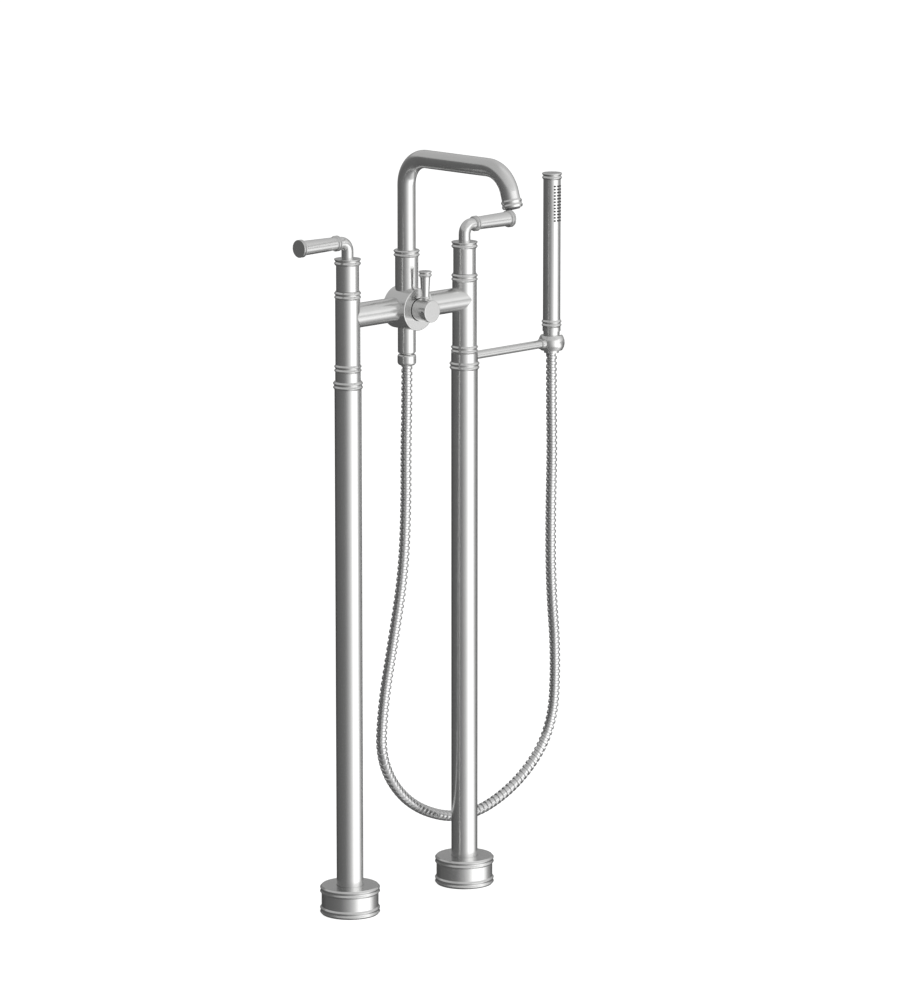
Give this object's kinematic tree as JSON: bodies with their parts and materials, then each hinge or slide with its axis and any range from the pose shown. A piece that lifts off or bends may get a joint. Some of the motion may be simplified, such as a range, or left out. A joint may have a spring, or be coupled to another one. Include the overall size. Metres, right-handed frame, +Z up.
{
  "type": "floor standing bath filler",
  "caption": "Floor standing bath filler: twin legs, lever valves, bridge with diverter, swivel spout, and a slim hand shower in a cradle on a ribbed hose.",
  "frame": {"origin": "on the floor, midway between the axes of the two legs, at the centre of the four floor screw holes", "axes": "+X from the left leg to the right leg, -Y towards the bath, the way the spout points, +Z up"},
  "size_m": [0.4941, 0.2442, 0.9564],
  "materials": {
    "satin_nickel": "satin nickel on brass, very fine grain, fairly glossy",
    "hose_metal": "interlocked metal strip with a satin nickel finish, over an inner hose",
    "brass": "plain machined brass",
    "screw_steel": "plain stainless steel",
    "cartridge_plastic": "glass filled plastic round ceramic discs",
    "aerator_plastic": "moulded grey plastic",
    "grey_rubber": "matt silicone rubber"
  },
  "bodies": {
    "root": {"arm_ferrule": "satin_nickel", "bonnet_ring_left": "satin_nickel", "bonnet_ring_right": "satin_nickel", "bracket_collar": "satin_nickel", "bridge_arm_left": "satin_nickel", "bridge_arm_right": "satin_nickel", "cradle_arm": "satin_nickel", "cradle_ball": "satin_nickel", "diverter_body": "satin_nickel", "diverter_cartridge": "cartridge_plastic", "diverter_face_ring": "satin_nickel", "flange_o_rings": "grey_rubber", "floor_flange_left": "satin_nickel", "floor_flange_right": "satin_nickel", "foot_plate_left": "brass", "foot_plate_right": "brass", "hose": "hose_metal", "hose_outlet": "satin_nickel", "leg_collar": "satin_nickel", "leg_tube_left": "satin_nickel", "leg_tube_right": "satin_nickel", "outlet_nut": "satin_nickel", "outlet_washer": "grey_rubber", "spout_base": "satin_nickel", "spout_screw": "screw_steel", "supply_pipe_left": "brass", "supply_pipe_right": "brass", "valve_body_left": "satin_nickel", "valve_body_right": "satin_nickel", "valve_cartridge_left": "cartridge_plastic", "valve_cartridge_right": "cartridge_plastic"},
    "left_lever": {"valve_spindle_left": "screw_steel", "handle_hub_left": "satin_nickel", "hub_screw_left": "screw_steel", "lever_elbow_left": "satin_nickel", "lever_collar_left": "satin_nickel", "lever_grip_left": "satin_nickel", "lever_end_cap_left": "satin_nickel"},
    "right_lever": {"valve_spindle_right": "screw_steel", "handle_hub_right": "satin_nickel", "hub_screw_right": "screw_steel", "lever_elbow_right": "satin_nickel", "lever_collar_right": "satin_nickel", "lever_grip_right": "satin_nickel", "lever_end_cap_right": "satin_nickel"},
    "diverter": {"diverter_spindle": "screw_steel", "diverter_knob": "satin_nickel", "knob_screw": "screw_steel", "diverter_stem": "satin_nickel", "diverter_stem_cap": "satin_nickel"},
    "spout": {"spout_tube": "satin_nickel", "spout_o_rings": "grey_rubber", "spout_tip_ring": "satin_nickel", "aerator": "aerator_plastic"},
    "hose_end": {"cone_nut": "satin_nickel", "cone_washer": "grey_rubber"},
    "hand_shower": {"hand_shower_ring": "satin_nickel", "hand_shower_tube": "satin_nickel", "hand_shower_cap": "satin_nickel", "nozzle_mat": "grey_rubber"}
  },
  "joints": [
    {"name": "left_lever_turn", "type": "hinge", "parent": "root", "child": "left_lever", "pos_m": [-0.1016, 0, 0.8494], "axis": [0, 0, 1], "range_deg": [0, 90]},
    {"name": "right_lever_turn", "type": "hinge", "parent": "root", "child": "right_lever", "pos_m": [0.1016, 0, 0.8494], "axis": [0, 0, 1], "range_deg": [-90, 0]},
    {"name": "diverter_turn", "type": "hinge", "parent": "root", "child": "diverter", "pos_m": [0, -0.0325, 0.7564], "axis": [0, 1, 0], "range_deg": [0, 90]},
    {"name": "spout_swivel", "type": "hinge", "parent": "root", "child": "spout", "pos_m": [0, 0, 0.8], "axis": [0, 0, 1], "range_deg": [-90, 90]},
    {"name": "hand_shower_lift", "type": "slide", "parent": "root", "child": "hose_end", "axis": [0, 0, 1], "range_m": [0, 0.03]},
    {"name": "hand_shower_turn", "type": "hinge", "parent": "hose_end", "child": "hand_shower", "pos_m": [0.259, 0, 0.7], "axis": [0, 0, 1], "continuous": true}
  ]
}
